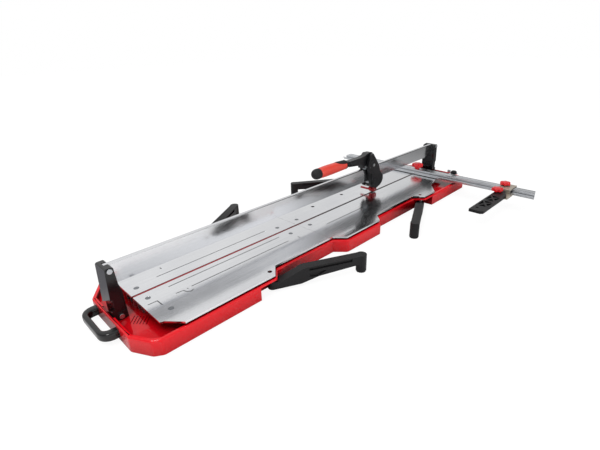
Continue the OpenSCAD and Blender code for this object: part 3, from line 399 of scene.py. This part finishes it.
def along_grip(u, radius):
    """Rings round the lever's axis at the shares u of the grip's length. A ring is an oval whose width is the
    share GRIP_OVAL of its height, and the axis bows up by GRIP_BOW millimetres times sine."""
    low, high = extent("lever_grip")
    u, radius = u[:, None], radius[:, None]
    x = low[0] + (high[0] - low[0]) * u + 0 * turn
    y = GRIP_OVAL * radius * np.cos(turn)
    z = (low[2] + high[2]) / 2 + radius * np.sin(turn) + GRIP_BOW * np.sin(np.pi * np.clip(u, 0, 1))
    return np.stack([x, y, z], axis=-1)


u = np.concatenate([np.linspace(0, GRIP_END, 6), np.linspace(2 * GRIP_END, 1 - 2 * GRIP_END, 36),
    np.linspace(1 - GRIP_END, 1, 6)])
outer = along_grip(u, grip_radius(u))
bore = along_grip(np.array([1.0, 0.0]), np.array([core_radius, core_radius]))
skin("moulded_grip", np.concatenate([outer, bore]), "lever_grip", loop=True)

# %% [markdown]
# The black end cap is a separate rubber moulding, a little fuller than the grip, whose end is nearly half a
# ball. A thin gap keeps the seam between cap and grip dark.

# %% Grip cap
cap_full, seam, skirt_share, skirt_taper, ball_power = 17.5, 0.2, 0.3, 0.05, 2.3
along = np.linspace(0, 1, 26)
low, high = extent("grip_cap")
length = high[0] - low[0]
skirt = 1 - skirt_taper * (1 - along / skirt_share) ** 2
into_ball = (np.maximum(along, skirt_share) - skirt_share) / (1 - skirt_share)
cap_radius = cap_full * np.where(along < skirt_share, skirt, np.sqrt(1 - into_ball ** ball_power))
x = high[0] - seam - (length - seam) * along
rings = np.stack([x[:, None] + 0 * turn, cap_radius[:, None] * np.cos(turn),
    (low[2] + high[2]) / 2 + cap_radius[:, None] * np.sin(turn)], axis=-1)
skin("rounded_cap", rings, "grip_cap")

# %% [markdown]
# A black pad for the thumb lies over the lever end of the grip. Seen from above it is a tongue: pointed
# toward the cap, and wide where it meets the lever. It is a patch of the grip's own surface, raised, with
# its borders sunk under the skin of the grip.

# %% Thumb rest
tongue_tip, half_width, last_full = 0.62, radians(66), 0.97
pad_rise, border_sunk, tip_share, inward = 1.55, 0.5, 0.12, 0.86
along = np.linspace(0, 1, 40)[:, None]
across = np.linspace(-1, 1, 41)[None, :]
low, high = extent("lever_grip")
share = tongue_tip + (1 - tongue_tip) * along
angle = np.pi / 2 + half_width * across * (1 - (1 - along) ** 2.2) ** 0.5
rise = pad_rise * (1 - across ** 6) * np.clip(along / tip_share, 0, 1) ** 0.5 - border_sunk
radius = grip_radius(np.minimum(share, last_full)) + rise
x = low[0] + (high[0] - low[0]) * share + 0 * across
z_axis = (low[2] + high[2]) / 2 + GRIP_BOW * np.sin(np.pi * share)
top = np.stack([x, GRIP_OVAL * radius * np.cos(angle), z_axis + radius * np.sin(angle)], axis=-1)
under = top.copy()
under[..., 1] *= inward
under[..., 2] = z_axis + (top[..., 2] - z_axis) * inward
skin("thumb_pad", np.concatenate([top, under[:, ::-1]], axis=1), "thumb_rest")

# %% [markdown]
# The three red knobs are moulded stars. A turned profile gives the dome and the hub, and the radius then
# waves with the angle: wide round lobes with narrow valleys between them, which is what fingers need.

# %% Star knobs
def star(name, stands_for, hub, bore_depth, turned=0.0):
    """A knob of six lobes. Its profile runs from the top of the blind bore out along the hub and the
    underside, round the rim, and over the dome to the middle. Neck, shoulder and fade are shares of the
    knob's radius. Beyond the neck the radius fades into itself times 1 - valley |sin(lobes a / 2)| ** 2.6,
    where a is the angle."""
    lobes, valley = 6, 0.3
    bore, rim_round, dome_height = 4.1, 2.0, 5.0
    neck, shoulder, fade = 0.42, 0.86, 0.4
    low, high = extent(stands_for)
    centre = (low + high) / 2
    outer = max(high[0] - low[0], high[1] - low[1]) / 2
    height = high[2] - low[2]
    base = min(height * 0.35, hub)
    quarter = np.linspace(0, np.pi / 2, 14)
    inside = [[0, bore_depth], [bore, bore_depth], [bore, 0]]
    foot = [[outer * neck, 0], [outer * neck, base], [outer * shoulder, base]]
    rim = np.stack([outer - rim_round + rim_round * np.sin(quarter),
        base + rim_round - rim_round * np.cos(quarter)], axis=-1)
    dome = np.stack([outer * np.cos(quarter) ** 0.45,
        height - dome_height + dome_height * np.sin(quarter) ** 1.4], axis=-1)
    profile = np.concatenate([inside, foot, rim, dome])
    wave = 1 - valley * np.abs(np.sin(lobes * (turn - turned) / 2)) ** 2.6
    radius = profile[:, 0][:, None]
    share = np.clip((radius / outer - neck) / fade, 0, 1)
    radius = radius * (1 + share * (wave - 1))
    z = low[2] + profile[:, 1][:, None] + 0 * turn
    rings = np.stack([centre[0] + radius * np.cos(turn), centre[1] + radius * np.sin(turn), z], axis=-1)
    return skin(name, rings, stands_for)


star("star_knob_fence", "fence_knob", hub=9.0, bore_depth=12.0)
star("star_knob_bar", "bar_knob", hub=2.0, bore_depth=10.0)
star("star_knob_saddle", "bracket_knob", hub=2.0, bore_depth=9.0, turned=radians(20))

# %% [markdown]
# The small black knob on the fence's clamp is a dome with a fluted side, turned like the stars but with
# many shallow waves.

# %% Dome knob
bore, bore_depth, foot_bevel, side_height = 3.1, 5.0, 1.5, 4.0
flutes, flute_depth, flute_from = 18, 0.04, 0.8
low, high = extent("clamp_knob")
middle, outer = (low + high) / 2, (high[0] - low[0]) / 2
quarter = np.linspace(0, np.pi / 2, 16)
inside = [[0, bore_depth], [bore, bore_depth], [bore, 0]]
foot = [[outer - foot_bevel, 0], [outer, foot_bevel], [outer, side_height]]
dome = np.stack([outer * np.cos(quarter), side_height + (high[2] - low[2] - side_height) * np.sin(quarter)],
    axis=-1)
profile = np.concatenate([inside, foot, dome])
flute = 1 - flute_depth * (1 - np.abs(np.cos(flutes / 2 * turn)))
radius = profile[:, 0][:, None]
radius = radius * (1 + np.clip((radius / outer - flute_from) / (1 - flute_from), 0, 1) * (flute - 1))
rings = np.stack([middle[0] + radius * np.cos(turn), middle[1] + radius * np.sin(turn),
    low[2] + profile[:, 1][:, None] + 0 * turn], axis=-1)
skin("dome_knob", rings, "clamp_knob")

# %% [markdown]
# The carry handle is one thick nylon moulding with a full, rounded section all the way, wide at its two
# roots and slimmer in the bar that the hand closes on. Its outer and its inner outline are worked out
# first, with the same number of points, and a squared oval is drawn between each pair.

# %% Carry handle
def outline(bar_x, wall_x, half, corner):
    """A U of three straight runs and two quarter circles of the radius corner: from the wall out along
    y = half, along the bar at bar_x, and back to the wall along y = -half."""
    leg = np.linspace(wall_x, bar_x + corner, 8)
    sweep = np.linspace(np.pi / 2, np.pi, 16)
    centre_x, centre_y = bar_x + corner, half - corner
    bend = np.stack([centre_x + corner * np.cos(sweep), centre_y + corner * np.sin(sweep)], axis=-1)
    first = np.concatenate([np.stack([leg, half + 0 * leg], axis=-1), bend])
    bar = np.linspace(half - corner, corner - half, 20)[1:-1]
    return np.concatenate([first, np.stack([bar_x + 0 * bar, bar], axis=-1), first[::-1] * [1, -1]])


def squared(wave):
    """A sine or cosine pushed toward its ends: its size to the power 0.62, with its sign kept. An oval of two
    such waves has fuller corners."""
    return np.sign(wave) * np.abs(wave) ** 0.62


bar_width, hand_half, outer_corner, inner_corner = 13.0, 48.0, 30.0, 12.0
low, high = extent("carry_handle")
outside = outline(low[0], high[0], high[1], outer_corner)
inside = outline(low[0] + bar_width, high[0], hand_half, inner_corner)
across, upward = squared(np.cos(turn)), squared(np.sin(turn))
plan = ((outside + inside) / 2)[:, None] + ((outside - inside) / 2)[:, None] * across[:, None]
level = (low[2] + high[2]) / 2 + (high[2] - low[2]) / 2 * upward + 0 * plan[..., 0]
handle = skin("moulded_handle", np.concatenate([plan, level[..., None]], axis=-1), "carry_handle")
handle.data.materials[0] = handle_black

# %% [markdown]
# A product studio stands on white paper that runs out of sight. To the camera most of the floor is a plain
# white glow, and a share of lit paper keeps the cutter's shadow in it. What polished parts mirror of the
# floor is set apart and carries painted shade: it falls off from white at the left to grey at the right, and
# a painted shadow lies behind the left end, so that the outer face of the left tower stays dark.

# %% Floor
def floor_sheet(half):
    """A square sheet of the given half width lying at height 0."""
    mesh = bpy.data.meshes.new("studio_floor")
    corners = half * np.array([[-1, -1, 0], [1, -1, 0], [1, 1, 0], [-1, 1, 0]], float)
    mesh.from_pydata(corners.tolist(), [], [[0, 1, 2, 3]])
    sheet = bpy.data.objects.new("studio_floor", mesh)
    bpy.context.scene.collection.objects.link(sheet)
    return sheet


glow_share, glow_strength = 0.84, 1.08
left_tone, right_tone, painted_shadow_tone = linear("#fafafa"), linear("#8c8c8c"), linear("#a2a1a7")
paper = bpy.data.materials.new("Matt white studio floor")
paper.use_nodes = True
tree = paper.node_tree
tree.nodes.clear()
path = add(tree, "ShaderNodeLightPath")
spot = add(tree, "ShaderNodeSeparateXYZ", {"Vector": add(tree, "ShaderNodeTexCoord").outputs["Object"]})
# Painted shade in what glossy parts mirror: the floor turns grey toward the right.
rightward = add(tree, "ShaderNodeMapRange", {"Value": spot.outputs["X"], "From Min": -0.3, "From Max": 1.2})
painted_shade_fade = add(tree, "ShaderNodeMix", {0: rightward.outputs[0], 6: left_tone, 7: right_tone}, data_type="RGBA")
# Painted shadow: a grey patch behind the left end, seen only in what glossy parts mirror.
past_end = add(tree, "ShaderNodeMapRange", {"Value": spot.outputs["X"], "From Min": -0.66, "From Max": -0.76})
behind = add(tree, "ShaderNodeMapRange", {"Value": spot.outputs["Y"], "From Min": 0.0, "From Max": 0.2})
patch = add(tree, "ShaderNodeMath", {0: past_end.outputs[0], 1: behind.outputs[0]}, operation="MULTIPLY")
mirrored = add(tree, "ShaderNodeMix", {0: patch.outputs[0], 6: painted_shade_fade.outputs[2], 7: painted_shadow_tone},
    data_type="RGBA")
tone = add(tree, "ShaderNodeMix", {0: path.outputs["Is Glossy Ray"], 6: linear("#f2f2f2"),
    7: mirrored.outputs[2]}, data_type="RGBA")
matt = add(tree, "ShaderNodeBsdfDiffuse", {"Color": tone.outputs[2]})
glow = add(tree, "ShaderNodeEmission", {"Color": linear("#ffffff"), "Strength": glow_strength})
share = add(tree, "ShaderNodeMath", {0: path.outputs["Is Camera Ray"], 1: glow_share}, operation="MULTIPLY")
mixed = add(tree, "ShaderNodeMixShader", {0: share.outputs[0], 1: matt.outputs[0], 2: glow.outputs[0]})
add(tree, "ShaderNodeOutputMaterial", {"Surface": mixed.outputs[0]})
floor = floor_sheet(12.0)
floor.data.materials.append(paper)
print("floor", floor.dimensions[0], "m wide")

# %% [markdown]
# Metal looks only as good as the room that it mirrors, so the room is worked out too. Its ceiling is white,
# and its walls have a grey for each bearing, counted from X toward Y: brightest on the near side, for the
# beam and the near slopes of the bed, then dark toward the right end, which gives the metal its contrast,
# and paler round the far side. The near wall is bright only up to about 30 degrees over the horizon, where
# its windows end. The camera itself sees plain white.

# %% The room
room = bpy.data.worlds.new("White studio")
bpy.context.scene.world = room
room.use_nodes = True
tree = room.node_tree
tree.nodes.clear()
way = add(tree, "ShaderNodeSeparateXYZ", {"Vector": add(tree, "ShaderNodeTexCoord").outputs["Generated"]})
bearing = add(tree, "ShaderNodeMath", {0: way.outputs["Y"], 1: way.outputs["X"]}, operation="ARCTAN2")
circle = add(tree, "ShaderNodeMapRange", {"Value": bearing.outputs[0], "From Min": -np.pi, "From Max": np.pi})
walls = add(tree, "ShaderNodeValToRGB", {"Fac": circle.outputs[0]})
ramp = walls.color_ramp
ramp.interpolation = "EASE"
wall_tones = {-180: 0.6, -90: 1.2, -50: 1.3, -39: 0.2, -8: 0.1, 18: 0.62, 40: 0.8, 75: 0.9, 120: 0.85,
    180: 0.6}
while len(ramp.elements) < len(wall_tones):
    ramp.elements.new(0.5)
for stop, (degrees, grey) in zip(ramp.elements, wall_tones.items()):
    stop.position = degrees / 360 + 0.5
    stop.color = (grey, grey, grey, 1)
print("walls from", min(wall_tones.values()), "to", max(wall_tones.values()))

# %% Ceiling, windows and what the camera sees
ceiling = add(tree, "ShaderNodeMapRange", {"Value": way.outputs["Z"], "From Min": 0.62, "From Max": 0.9},
    interpolation_type="SMOOTHSTEP")
backward = add(tree, "ShaderNodeMapRange", {"Value": way.outputs["Y"], "From Min": -0.25, "From Max": 0.05})
over_windows = add(tree, "ShaderNodeMapRange", {"Value": way.outputs["Z"], "From Min": 0.455,
    "From Max": 0.53, "To Min": 1.0, "To Max": 0.35}, interpolation_type="SMOOTHSTEP")
dim = add(tree, "ShaderNodeMath", {0: over_windows.outputs[0], 1: backward.outputs[0]}, operation="MAXIMUM")
front = add(tree, "ShaderNodeVectorMath", {0: walls.outputs["Color"], "Scale": dim.outputs[0]},
    operation="SCALE")
bright = add(tree, "ShaderNodeMix", {0: ceiling.outputs[0], 6: front.outputs[0], 7: linear("#ffffff")},
    data_type="RGBA")
path = add(tree, "ShaderNodeLightPath")
shown = add(tree, "ShaderNodeMix", {0: path.outputs["Is Camera Ray"], 6: bright.outputs[2],
    7: linear("#ffffff")}, data_type="RGBA")
light = add(tree, "ShaderNodeBackground", {"Color": shown.outputs[2], "Strength": 1.0})
add(tree, "ShaderNodeOutputWorld", {"Surface": light.outputs[0]})
print(len(tree.nodes), "nodes make the room")

# %% [markdown]
# Three softboxes shape the cutter. A small one high over the left end is the only one that glossy parts
# mirror, and it puts small highlights on the rounded edges. A wide one over the far side and a wide low one
# in front only add light, because their square shapes would show in the bed.

# %% Softboxes
def softbox(name, place, size, power, in_mirrors):
    """A square area light at place that faces the middle of the bed; glossy parts show it when in_mirrors is
    true. Its axes are across (straight up crossed with the way to the lamp), upward, and the way itself."""
    lamp = bpy.data.lights.new(name, "AREA")
    lamp.size = size
    lamp.energy = power
    holder = bpy.data.objects.new(name, lamp)
    away = np.array(place)
    side = np.cross([0, 0, 1.0], away)
    side /= np.linalg.norm(side)
    away /= np.linalg.norm(away)
    up = np.cross(away, side)
    holder.matrix_world = Matrix([[side[i], up[i], away[i], place[i]] for i in range(3)] + [[0, 0, 0, 1]])
    bpy.context.scene.collection.objects.link(holder)
    holder.visible_glossy = in_mirrors
    print(f"{name}: {power} W, {size} m wide")


softbox("Softbox over the left", (-1.6, -0.6, 2.2), size=0.45, power=16, in_mirrors=True)
softbox("Softbox over the far side", (0.8, 1.4, 2.4), size=1.6, power=8, in_mirrors=False)
softbox("Low softbox at the front", (-0.2, -2.6, 0.7), size=1.6, power=10, in_mirrors=False)

# %% [markdown]
# The camera stands near the left end on the near side and looks down along the cutter. Its lens is wide, so
# the near end looms and the far end shrinks.

# %% Camera
lens = bpy.data.cameras.new("Camera")
lens.lens = 23.97
lens.sensor_width = 36
camera = bpy.data.objects.new("Camera", lens)
place = (-0.9370, -0.8490, 0.5911)
yaw, pitch, roll = radians(45.788), radians(-24.650), radians(-1.805)
camera.matrix_world = (Matrix.Translation(place) @ Matrix.Rotation(yaw - radians(90), 4, "Z")
    @ Matrix.Rotation(radians(90) + pitch, 4, "X") @ Matrix.Rotation(roll, 4, "Z"))
bpy.context.scene.collection.objects.link(camera)
bpy.context.scene.camera = camera
bpy.context.scene.view_settings.view_transform = "Standard"
print("camera", [round(v, 3) for v in camera.location])
